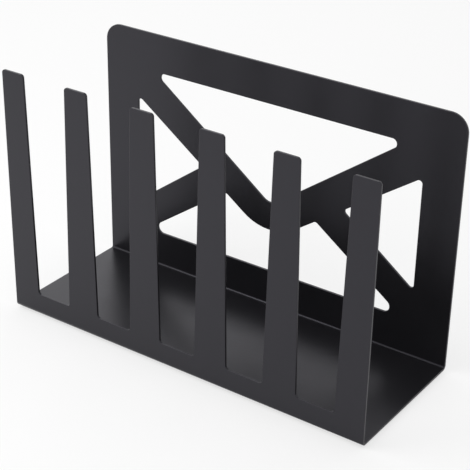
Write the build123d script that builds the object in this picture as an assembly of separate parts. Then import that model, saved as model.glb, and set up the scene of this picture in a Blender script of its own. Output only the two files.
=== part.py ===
from build123d import *
import os

# Letter holder: one steel sheet, cut through and folded twice into an open trough, on four stick-on pads.
# Millimetres. X runs along the holder, Y from the front wall to the back wall, Z up.
# The origin is on the desk, below the middle of the trough.

# Trough
length = 250.0  # along the envelopes
depth = 95.0  # over the outsides of both walls
height = 161.5  # from the desk to the top of the back wall
sheet = 1.5  # thickness of the steel
bend_inside = 1.2  # inside radius of both folds
front_drop = 3.0  # how much lower the front wall ends
back_corner = 11.0  # rounding of the back wall's top corners
overrun = 5.0  # how far every cut runs past the sheet

# Envelope figure, cut through the back wall
side_border = 24.5
top_border = 24.5
bottom_border = 24.8  # up from the underside of the sheet
strip_narrow = 24.1  # upright height of a slanted strip at its narrow end
strip_wide = 27.2  # and at its wide end
flap_reach_share = 0.885  # half width of the flap's top, of the figure's half width
flap_point_share = 0.408  # height of the flap's point in the figure, before it is rounded
pocket_reach_share = 0.939  # half width of the pocket's foot, of the figure's half width
pocket_peak_share = 0.609  # height in the figure where the pocket's sides would meet
flap_corner = 3.0  # rounding of the flap's top corners
flap_point_radius = 8.0  # rounding of the flap's point
fold_point_radius = 33.0  # rounding below it, on the underside of the folded strip
side_corner = 2.0  # rounding of the side openings' corners
pocket_corner = 4.0  # rounding of the corners at the pocket's foot
peak_corner = 2.0  # rounding of the pocket's two peaks

# Pickets of the front wall
picket_count = 6
picket_top = 16.0
picket_foot = 22.0  # an inner picket's width at its foot
kerb = 14.5  # plain strip under the pickets, from the underside of the sheet
picket_corner = 2.0  # rounding of the pickets' tops
gap_corner = 2.0  # rounding at the foot of each gap

# Pads under the base
pad_diameter = 12.0
pad_thickness = 1.5
pad_margin = 5.0  # from the start of a fold to the rim of a pad
pad_edge = 0.4  # bevel of the rim that meets the desk

# Worked out from the sizes above, with heights up from the underside of the sheet
bend_outside = bend_inside + sheet
back_rise = height - pad_thickness
front_rise = back_rise - front_drop
figure_half = length / 2 - side_border
figure_top = back_rise - top_border
figure_rise = figure_top - bottom_border
strip_taper = (strip_wide - strip_narrow) / figure_half
pad_inset = bend_outside + pad_margin + pad_diameter / 2

# Drawing planes that start at the underside of the sheet: across the trough, and along its walls
SECTION = Plane(origin=(0, 0, pad_thickness), x_dir=(0, 1, 0), z_dir=(1, 0, 0))
WALL = Plane(origin=(0, 0, pad_thickness), x_dir=(1, 0, 0), z_dir=(0, -1, 0))


def wall_section(rise):
    """Half of the folded section, from the middle of the base to the top of one wall, in Y and Z."""
    half = depth / 2
    outside = FilletPolyline((0, 0), (half, 0), (half, rise), radius=bend_outside)
    inside = FilletPolyline((half - sheet, rise), (half - sheet, sheet), (0, sheet), radius=bend_inside)
    return make_face(outside + Line(outside @ 1, inside @ 0) + inside + Line(inside @ 1, outside @ 0))


def trough():
    """The folded sheet before anything is cut out of it."""
    section = wall_section(back_rise) + mirror(wall_section(front_rise), about=Plane.YZ)
    return extrude(SECTION * section, amount=length / 2, both=True)


def height_at(edge, x):
    """Height of a slanted edge of the figure, which is given by its height at the middle and its slope."""
    middle, slope = edge
    return middle + slope * x


def crossing(falling, rising):
    """The point where a falling edge of the figure crosses a rising one."""
    x = (falling[0] - rising[0]) / (rising[1] - falling[1])
    return (x, height_at(rising, x))


def rounded_face(points, radii):
    """A flat outline with straight sides and rounded corners."""
    return make_face(FilletPolyline(*points, radius=radii, close=True))


def envelope_figure():
    """Four openings that leave the rim, the folded flap and the seams of an envelope standing."""
    # The folded strip lies under the flap and widens towards the sides
    flap_reach = flap_reach_share * figure_half
    flap_point = bottom_border + flap_point_share * figure_rise
    flap_slope = (figure_top - flap_point) / flap_reach
    fold_low = (flap_point - strip_narrow, flap_slope - strip_taper)

    # The seams lie over the pocket and narrow towards the sides
    pocket_reach = pocket_reach_share * figure_half
    pocket_peak = bottom_border + pocket_peak_share * figure_rise
    seam_slope = (pocket_peak - bottom_border) / pocket_reach
    seam_low = (pocket_peak, -seam_slope)
    seam_high = (pocket_peak + strip_wide, -seam_slope - strip_taper)

    flap = rounded_face(
        [(-flap_reach, figure_top), (0, flap_point), (flap_reach, figure_top)],
        [flap_corner, flap_point_radius, flap_corner],
    )
    side = rounded_face(
        [
            (figure_half, height_at(seam_high, figure_half)),
            (figure_half, height_at(fold_low, figure_half)),
            crossing(seam_high, fold_low),
        ],
        side_corner,
    )
    peak_x, peak_height = crossing(seam_low, fold_low)
    pocket = rounded_face(
        [
            (-pocket_reach, bottom_border),
            (pocket_reach, bottom_border),
            (peak_x, peak_height),
            (0, height_at(fold_low, 0)),
            (-peak_x, peak_height),
        ],
        [pocket_corner, pocket_corner, peak_corner, fold_point_radius, peak_corner],
    )
    return flap + side + mirror(side, about=Plane.YZ) + pocket


def front_gaps():
    """The open gaps between the pickets, wider at the top, evenly spaced along the front wall."""
    gap_count = picket_count - 1
    gap_top = (length - picket_count * picket_top) / gap_count
    spacing = gap_top + picket_top
    gap_foot = spacing - picket_foot
    spread = (gap_top - gap_foot) / (front_rise - kerb)
    mouth = gap_top + spread * overrun
    gap = rounded_face(
        [
            (-gap_foot / 2, kerb),
            (gap_foot / 2, kerb),
            (mouth / 2, front_rise + overrun),
            (-mouth / 2, front_rise + overrun),
        ],
        [gap_corner, gap_corner, 0, 0],
    )
    return [place * gap for place in GridLocations(spacing, 0, gap_count, 1)]


def folded_sheet():
    """Back wall, base and front wall in one sheet, with the figure and the gaps cut through."""
    body = trough()
    body = fillet(body.edges().filter_by(Axis.Y).group_by(Axis.Z)[-1], back_corner)
    reach = depth / 2 + overrun
    body -= extrude(WALL * envelope_figure(), amount=-reach)
    for gap in front_gaps():
        body -= extrude(WALL * gap, amount=reach)
    front_edges = body.edges().filter_by(Axis.Y).filter_by(lambda edge: edge.center().Y < 0)
    return fillet(front_edges.group_by(Axis.Z)[-1], picket_corner)


def pad():
    """A round stick-on pad, its rim bevelled where it meets the desk."""
    disc = Cylinder(pad_diameter / 2, pad_thickness, align=(Align.CENTER, Align.CENTER, Align.MIN))
    return chamfer(disc.edges().group_by(Axis.Z)[0], pad_edge)


def main():
    os.makedirs("parts", exist_ok=True)
    export_step(folded_sheet(), "parts/folded_sheet.step")
    pad_x = length / 2 - pad_inset
    pad_y = depth / 2 - pad_inset
    for row, y in (("front", -pad_y), ("back", pad_y)):
        for end, x in (("left", -pad_x), ("right", pad_x)):
            export_step(Pos(x, y) * pad(), f"parts/pad_{row}_{end}.step")


main()
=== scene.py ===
from math import radians

import bpy
from mathutils import Euler, Matrix, Vector

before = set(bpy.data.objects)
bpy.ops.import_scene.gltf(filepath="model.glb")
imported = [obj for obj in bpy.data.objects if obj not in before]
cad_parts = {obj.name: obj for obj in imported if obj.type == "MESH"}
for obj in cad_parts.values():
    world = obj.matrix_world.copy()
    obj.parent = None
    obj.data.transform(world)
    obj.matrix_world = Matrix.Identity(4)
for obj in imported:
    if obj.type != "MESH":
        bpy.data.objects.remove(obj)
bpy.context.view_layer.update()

# Camera, from the photograph's straight edges
PHOTO_SIDE_PX = 470
FOCAL_PX = 1401
SENSOR_MM = 36.0
CAMERA_PLACE = (0.4143, -0.5905, 0.4500)
CAMERA_AZIMUTH = 34.62
CAMERA_ELEVATION = 27.74
CAMERA_ROLL = 1.04
LEVEL_PITCH = 90.0

# Edges of the sheet, rounded by the coating
EDGE_ROUND = 0.0003
EDGE_STEPS = 3
SHARP_ANGLE = 30.0
FLAT_ANGLE = 0.2
WELD_REACH = 0.000005

# Range that holds most of a noise texture's values
NOISE_LOW = 0.3
NOISE_HIGH = 0.7

# Black powder coat: each noise as scale and detail, each relief as depth in metres and strength
COAT_DARK = (0.0052, 0.0051, 0.0056)
COAT_LIGHT = (0.0066, 0.0064, 0.0071)
COAT_GLOSS = 0.5
COAT_GLOSS_TINT = (0.88, 0.86, 1.0, 1.0)
COAT_SMOOTH = 0.29
COAT_ROUGH = 0.33
COAT_CLOUDS = (60.0, 4.0)
COAT_GRAIN = (2600.0, 2.0)
COAT_GRAIN_RELIEF = (0.00003, 0.6)
COAT_PEEL = (420.0, 1.0)
COAT_PEEL_RELIEF = (0.00005, 0.5)

# Black rubber, in the same terms
RUBBER_DARK = (0.012, 0.012, 0.012)
RUBBER_LIGHT = (0.022, 0.021, 0.021)
RUBBER_SMOOTH = 0.72
RUBBER_ROUGH = 0.85
RUBBER_CLOUDS = (300.0, 3.0)
RUBBER_PITS = (3500.0, 3.0)
RUBBER_PITS_RELIEF = (0.00004, 0.6)

# Studio
FLOOR_SIDE = 6.0
FLOOR_COLOUR = (0.92, 0.92, 0.92, 1.0)
FLOOR_ROUGH = 0.9
FLOOR_GLOW = 0.65
FLOOR_GLOW_IN_GLOSS = 0.15
WORLD_COLOUR = (1.0, 1.0, 1.0, 1.0)
WORLD_LIGHT = 0.83
KEY_SIDE = 0.4
KEY_POWER = 1.7
KEY_PLACE = (-0.35, -0.35, 0.6)
RIM_SIDE = 0.5
RIM_POWER = 0.3
RIM_PLACE = (-0.6, 0.5, 0.5)


def new_material(name):
    material = bpy.data.materials.new(name)
    material.use_nodes = True
    tree = material.node_tree
    return material, tree, tree.nodes["Principled BSDF"]


def noise(tree, scale, detail):
    """Noise in the object's own metres, with its lumps about 1 / scale metres across."""
    place = tree.nodes.new("ShaderNodeTexCoord")
    node = tree.nodes.new("ShaderNodeTexNoise")
    node.inputs["Scale"].default_value = scale
    node.inputs["Detail"].default_value = detail
    tree.links.new(place.outputs["Object"], node.inputs["Vector"])
    return node.outputs["Fac"]


def between(tree, value, low, high, start=0.0, stop=1.0):
    """Takes a value that runs from start to stop to one that runs from low to high."""
    node = tree.nodes.new("ShaderNodeMapRange")
    node.inputs["From Min"].default_value = start
    node.inputs["From Max"].default_value = stop
    node.inputs["To Min"].default_value = low
    node.inputs["To Max"].default_value = high
    tree.links.new(value, node.inputs["Value"])
    return node.outputs["Result"]


def tint(tree, value, dark, light):
    node = tree.nodes.new("ShaderNodeMix")
    node.data_type = "RGBA"
    node.inputs["A"].default_value = (*dark, 1.0)
    node.inputs["B"].default_value = (*light, 1.0)
    tree.links.new(value, node.inputs["Factor"])
    return node.outputs["Result"]


def bump(tree, height, relief, under=None):
    depth, strength = relief
    node = tree.nodes.new("ShaderNodeBump")
    node.inputs["Distance"].default_value = depth
    node.inputs["Strength"].default_value = strength
    tree.links.new(height, node.inputs["Height"])
    if under:
        tree.links.new(under, node.inputs["Normal"])
    return node.outputs["Normal"]


def link_look(tree, shader, shade, roughness, normal):
    tree.links.new(shade, shader.inputs["Base Color"])
    tree.links.new(roughness, shader.inputs["Roughness"])
    tree.links.new(normal, shader.inputs["Normal"])


def powder_coat():
    """Black powder coat on steel: satin, with a fine grain and a faint orange peel."""
    material, tree, shader = new_material("black_powder_coat")
    shader.inputs["Specular IOR Level"].default_value = COAT_GLOSS
    shader.inputs["Specular Tint"].default_value = COAT_GLOSS_TINT
    clouds = noise(tree, *COAT_CLOUDS)
    shade = tint(tree, clouds, COAT_DARK, COAT_LIGHT)
    roughness = between(tree, clouds, COAT_SMOOTH, COAT_ROUGH, NOISE_LOW, NOISE_HIGH)
    peel = bump(tree, noise(tree, *COAT_PEEL), COAT_PEEL_RELIEF)
    grain = bump(tree, noise(tree, *COAT_GRAIN), COAT_GRAIN_RELIEF, peel)
    link_look(tree, shader, shade, roughness, grain)
    return material


def rubber():
    """Black die-cut rubber, dull and finely pitted."""
    material, tree, shader = new_material("black_rubber")
    clouds = noise(tree, *RUBBER_CLOUDS)
    shade = tint(tree, clouds, RUBBER_DARK, RUBBER_LIGHT)
    roughness = between(tree, clouds, RUBBER_SMOOTH, RUBBER_ROUGH, NOISE_LOW, NOISE_HIGH)
    pits = bump(tree, noise(tree, *RUBBER_PITS), RUBBER_PITS_RELIEF)
    link_look(tree, shader, shade, roughness, pits)
    return material


def dress(node, material):
    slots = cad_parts[node].data.materials
    slots.clear()
    slots.append(material)


def round_edges(node, width):
    """Rounds a CAD node's sharp edges, over its unchanged mesh."""
    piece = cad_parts[node]
    weld = piece.modifiers.new("weld", "WELD")
    weld.merge_threshold = WELD_REACH
    flat = piece.modifiers.new("flat", "DECIMATE")
    flat.decimate_type = "DISSOLVE"
    flat.angle_limit = radians(FLAT_ANGLE)
    edges = piece.modifiers.new("edges", "BEVEL")
    edges.width = width
    edges.segments = EDGE_STEPS
    edges.limit_method = "ANGLE"
    edges.angle_limit = radians(SHARP_ANGLE)
    edges.harden_normals = True


def larger(tree, one, other):
    node = tree.nodes.new("ShaderNodeMath")
    node.operation = "MAXIMUM"
    tree.links.new(one, node.inputs[0])
    tree.links.new(other, node.inputs[1])
    return node.outputs["Value"]


def sight(tree):
    """Marks what the camera sees directly, and apart from that what it sees in a gloss or through glass."""
    rays = tree.nodes.new("ShaderNodeLightPath").outputs
    return rays["Is Camera Ray"], larger(tree, rays["Is Glossy Ray"], rays["Is Transmission Ray"])


def pale_floor():
    """A plain floor that looks nearly white, less so in a gloss, and keeps a faint shadow."""
    bpy.ops.mesh.primitive_plane_add(size=FLOOR_SIDE)
    floor = bpy.context.object
    floor.name = "floor"
    material, tree, shader = new_material("pale_floor")
    shader.inputs["Base Color"].default_value = FLOOR_COLOUR
    shader.inputs["Roughness"].default_value = FLOOR_ROUGH
    glow = tree.nodes.new("ShaderNodeEmission")
    blend = tree.nodes.new("ShaderNodeMixShader")
    direct, mirrored = sight(tree)
    direct_glow = between(tree, direct, 0.0, FLOOR_GLOW)
    mirrored_glow = between(tree, mirrored, 0.0, FLOOR_GLOW_IN_GLOSS)
    tree.links.new(larger(tree, direct_glow, mirrored_glow), blend.inputs["Fac"])
    tree.links.new(shader.outputs["BSDF"], blend.inputs[1])
    tree.links.new(glow.outputs["Emission"], blend.inputs[2])
    tree.links.new(blend.outputs["Shader"], tree.nodes["Material Output"].inputs["Surface"])
    floor.data.materials.append(material)


def white_surround():
    """A world that is white to look at and lights the part a little less."""
    world = bpy.data.worlds.new("studio")
    bpy.context.scene.world = world
    world.use_nodes = True
    tree = world.node_tree
    surround = tree.nodes["Background"]
    surround.inputs["Color"].default_value = WORLD_COLOUR
    seen = larger(tree, *sight(tree))
    tree.links.new(between(tree, seen, WORLD_LIGHT, 1.0), surround.inputs["Strength"])


def area_lamp(name, place, side, power):
    """A soft square lamp, aimed at the part and not seen itself."""
    lamp = bpy.data.lights.new(name, "AREA")
    lamp.size = side
    lamp.energy = power
    holder = bpy.data.objects.new(name, lamp)
    holder.location = place
    holder.rotation_euler = (-Vector(place)).to_track_quat("-Z", "Y").to_euler()
    holder.visible_camera = False
    bpy.context.scene.collection.objects.link(holder)


def camera():
    """The photograph's viewpoint and lens."""
    lens = bpy.data.cameras.new("camera")
    lens.sensor_width = SENSOR_MM
    lens.lens = FOCAL_PX / PHOTO_SIDE_PX * SENSOR_MM
    eye = bpy.data.objects.new("camera", lens)
    pitch = radians(LEVEL_PITCH - CAMERA_ELEVATION)
    turn = Euler((pitch, 0.0, radians(CAMERA_AZIMUTH))).to_matrix()
    eye.rotation_euler = (turn @ Matrix.Rotation(radians(CAMERA_ROLL), 3, "Z")).to_euler()
    eye.location = CAMERA_PLACE
    bpy.context.scene.collection.objects.link(eye)
    bpy.context.scene.camera = eye


coat = powder_coat()
pad_rubber = rubber()
dress("folded_sheet", coat)
round_edges("folded_sheet", EDGE_ROUND)
for row in ("front", "back"):
    for end in ("left", "right"):
        dress(f"pad_{row}_{end}", pad_rubber)

pale_floor()
white_surround()
area_lamp("key", KEY_PLACE, KEY_SIDE, KEY_POWER)
area_lamp("rim", RIM_PLACE, RIM_SIDE, RIM_POWER)
camera()
bpy.context.scene.view_settings.view_transform = "Standard"
